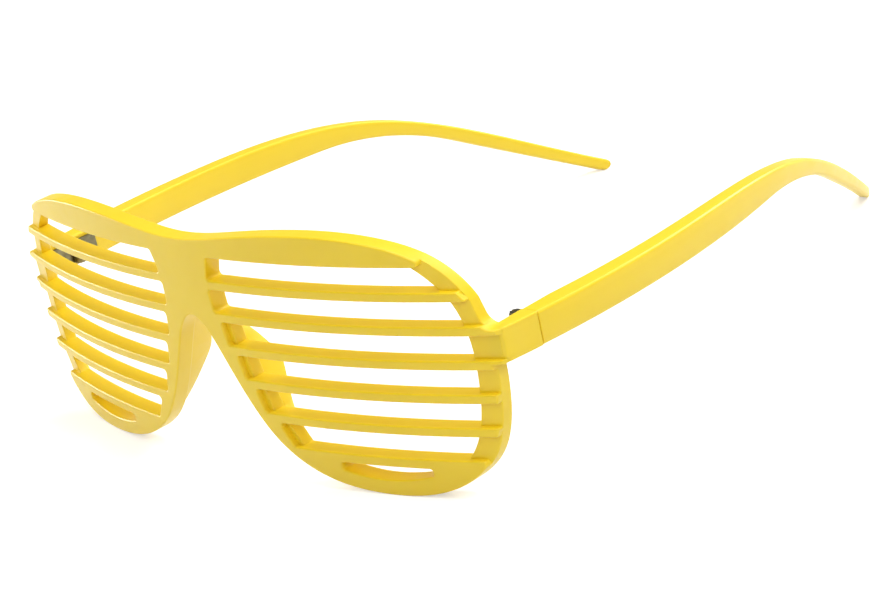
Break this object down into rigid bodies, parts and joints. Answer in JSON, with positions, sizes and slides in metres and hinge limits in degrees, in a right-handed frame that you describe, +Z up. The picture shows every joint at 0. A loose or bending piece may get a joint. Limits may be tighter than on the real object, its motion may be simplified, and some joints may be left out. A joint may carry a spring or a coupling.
{
  "type": "slatted glasses",
  "caption": "Wrap-round plastic glasses with horizontal slats in place of lenses, short nose fins and folding temples on metal screw hinges.",
  "frame": {"origin": "middle of the footprint of the open glasses, on the surface they stand on", "axes": "+X towards the wearer's left, +Y from the front towards the ears, +Z up; the glasses are mirrored about the plane X = 0"},
  "size_m": [0.1474, 0.1616, 0.0523],
  "materials": {
    "frame_plastic": "satin moulded yellow plastic",
    "temple_plastic": "satin moulded yellow plastic",
    "hinge_metal": "dull nickel-plated steel",
    "screw_metal": "bright nickel-plated steel"
  },
  "bodies": {
    "front": {"front_frame": "frame_plastic", "left_front_hinge_leaf": "hinge_metal", "right_front_hinge_leaf": "hinge_metal", "left_hinge_screw": "screw_metal", "right_hinge_screw": "screw_metal"},
    "left_arm": {"left_temple": "temple_plastic", "left_temple_hinge_leaf": "hinge_metal"},
    "right_arm": {"right_temple": "temple_plastic", "right_temple_hinge_leaf": "hinge_metal"}
  },
  "joints": [
    {"name": "left_temple_fold", "type": "hinge", "parent": "front", "child": "left_arm", "pos_m": [0.0664, -0.05817, 0.03069], "axis": [0, 0, 1], "range_deg": [0, 81]},
    {"name": "right_temple_fold", "type": "hinge", "parent": "front", "child": "right_arm", "pos_m": [-0.0664, -0.05817, 0.03069], "axis": [0, 0, -1], "range_deg": [0, 74]}
  ]
}
